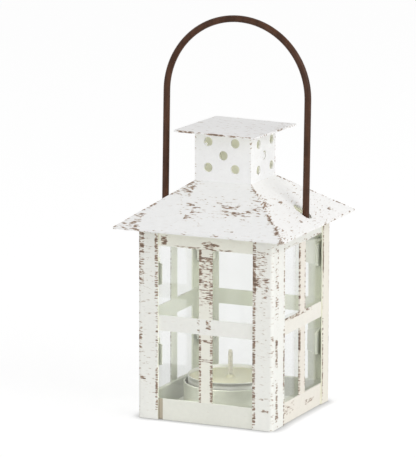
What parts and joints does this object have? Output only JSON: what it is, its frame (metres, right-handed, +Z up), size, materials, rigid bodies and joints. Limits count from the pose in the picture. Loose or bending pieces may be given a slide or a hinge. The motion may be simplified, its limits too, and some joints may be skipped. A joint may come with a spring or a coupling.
{
  "type": "candle lantern",
  "caption": "Small square candle lantern: glazed sheet-metal body, lift-off hipped roof with vented chimney, bent wire bail and a tealight in a round cup.",
  "frame": {"origin": "centre of the square base, on the surface that the lantern stands on", "axes": "+Z up; the front towards -Y; the bail's legs on the left (-X) and right (+X) sides"},
  "size_m": [0.0804, 0.0804, 0.1754],
  "materials": {
    "frame_paint": "distressed matt off-white paint, worn to brown on the edges",
    "roof_paint": "distressed matt off-white paint, worn to brown along the hips and the eave",
    "cup_paint": "satin off-white paint",
    "glass": "clear, faintly green",
    "bail_wire": "satin dark brown",
    "aluminium": "bright pressed foil",
    "wax": "slightly translucent white wax",
    "wick": "waxed cotton",
    "tin": "tinned disc"
  },
  "bodies": {
    "frame": {"base_tray": "frame_paint", "post_front_left": "frame_paint", "post_front_right": "frame_paint", "post_back_right": "frame_paint", "post_back_left": "frame_paint", "top_rail_front": "frame_paint", "top_rail_right": "frame_paint", "top_rail_back": "frame_paint", "top_rail_left": "frame_paint", "mid_rail_front": "frame_paint", "mid_rail_right": "frame_paint", "mid_rail_back": "frame_paint", "mid_rail_left": "frame_paint", "bottom_rail_front": "frame_paint", "bottom_rail_right": "frame_paint", "bottom_rail_back": "frame_paint", "bottom_rail_left": "frame_paint", "glazing_bar_front": "frame_paint", "glazing_bar_right": "frame_paint", "glazing_bar_back": "frame_paint", "glazing_bar_left": "frame_paint", "glass_front": "glass", "glass_right": "glass", "glass_back": "glass", "glass_left": "glass", "glass_clips_front_left": "frame_paint", "glass_clips_front_right": "frame_paint", "glass_clips_back_right": "frame_paint", "glass_clips_back_left": "frame_paint", "candle_cup": "cup_paint"},
    "top": {"roof_slope_front": "roof_paint", "roof_slope_right": "roof_paint", "roof_slope_back": "roof_paint", "roof_slope_left": "roof_paint", "chimney": "roof_paint", "chimney_cap": "roof_paint"},
    "bail": {"bail": "bail_wire"},
    "tealight": {"tealight_cup": "aluminium", "tealight_wax": "wax", "tealight_wick": "wick", "wick_sustainer": "tin"}
  },
  "joints": [
    {"name": "top_lift", "type": "slide", "parent": "frame", "child": "top", "axis": [0, 0, 1], "range_m": [0, 0.037]},
    {"name": "bail_rock", "type": "hinge", "parent": "frame", "child": "bail", "pos_m": [0, 0, 0.085], "axis": [1, 0, 0], "range_deg": [0, 3.4]},
    {"name": "tealight_lift", "type": "slide", "parent": "frame", "child": "tealight", "axis": [0, 0, 1], "range_m": [0, 0.08]}
  ]
}
